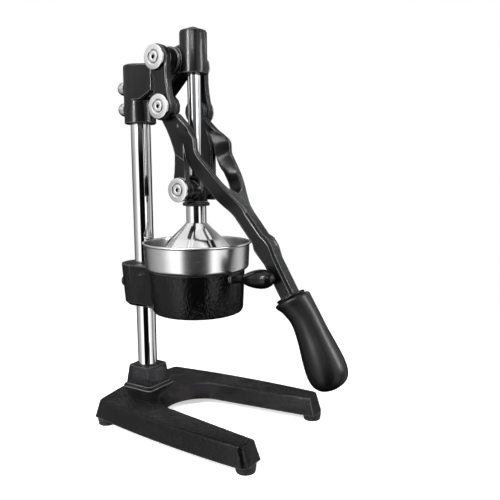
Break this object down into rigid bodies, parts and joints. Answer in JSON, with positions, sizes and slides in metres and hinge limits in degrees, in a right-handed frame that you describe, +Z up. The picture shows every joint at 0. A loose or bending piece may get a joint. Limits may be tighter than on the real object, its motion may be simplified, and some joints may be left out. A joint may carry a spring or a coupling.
{
  "type": "lever citrus press",
  "caption": "Lever citrus press: open cast foot, steel column, holder with cup, strainer and spout, and a fluted bell pressed down by a forked lever on swinging links.",
  "frame": {"origin": "middle of the outer box, on the floor under the rubber feet", "axes": "+Z up, the lever's grip and the open end of the foot towards -Y, the column towards +Y, +X to the right seen from the front"},
  "size_m": [0.164, 0.2822, 0.4236],
  "materials": {
    "hammered_paint": "hammered gloss",
    "black_paint": "smooth satin, edges worn bright",
    "polished_steel": "polished",
    "brushed_steel": "brushed round",
    "zinc_steel": "zinc plated",
    "bronze": "sintered",
    "grip_plastic": "satin",
    "knob_plastic": "gloss",
    "foot_rubber": "matte"
  },
  "bodies": {
    "stand": {"base_casting": "hammered_paint", "column": "polished_steel", "column_bolt": "zinc_steel", "column_washer": "zinc_steel", "cup_holder": "hammered_paint", "holder_screw": "zinc_steel", "handle_stem": "black_paint", "handle_knob": "knob_plastic", "juice_cup": "brushed_steel", "strainer": "brushed_steel", "head_casting": "black_paint", "guide_bush": "bronze", "foot_front_left": "foot_rubber", "foot_screw_front_left": "zinc_steel", "foot_front_right": "foot_rubber", "foot_screw_front_right": "zinc_steel", "foot_rear_left": "foot_rubber", "foot_screw_rear_left": "zinc_steel", "foot_rear_right": "foot_rubber", "foot_screw_rear_right": "zinc_steel", "head_bolt_upper": "polished_steel", "head_bolt_lower": "polished_steel", "upper_axle": "zinc_steel", "upper_washer_right": "zinc_steel", "upper_washer_left": "zinc_steel", "upper_cap_right": "polished_steel", "upper_cap_left": "polished_steel"},
    "links": {"link_left": "black_paint", "link_right": "black_paint", "middle_pin_left": "polished_steel", "middle_pin_right": "polished_steel", "middle_washer_left": "zinc_steel", "middle_washer_right": "zinc_steel"},
    "lever": {"lever_casting": "black_paint", "grip_collar": "black_paint", "grip": "grip_plastic", "grip_stud": "zinc_steel"},
    "press": {"crosshead": "black_paint", "press_rod": "polished_steel", "press_bell": "polished_steel", "lower_pin_left": "polished_steel", "lower_pin_right": "polished_steel", "lower_washer_left": "zinc_steel", "lower_washer_right": "zinc_steel"}
  },
  "joints": [
    {"name": "link_swing", "type": "hinge", "parent": "stand", "child": "links", "pos_m": [0, 0.05344, 0.39], "axis": [1, 0, 0], "range_deg": [0, 67]},
    {"name": "lever_swing", "type": "hinge", "parent": "links", "child": "lever", "pos_m": [0, 0.04894, 0.3415], "axis": [1, 0, 0], "range_deg": [-106, 0.5]},
    {"name": "press_level", "type": "hinge", "parent": "lever", "child": "press", "pos_m": [0, 0.03344, 0.2575], "axis": [1, 0, 0], "range_deg": [-0.5, 39]}
  ],
  "couplings": [
    {"joint": "lever_swing", "follows": "link_swing", "ratio": -1.5672},
    {"joint": "press_level", "follows": "link_swing", "ratio": 0.56722}
  ]
}
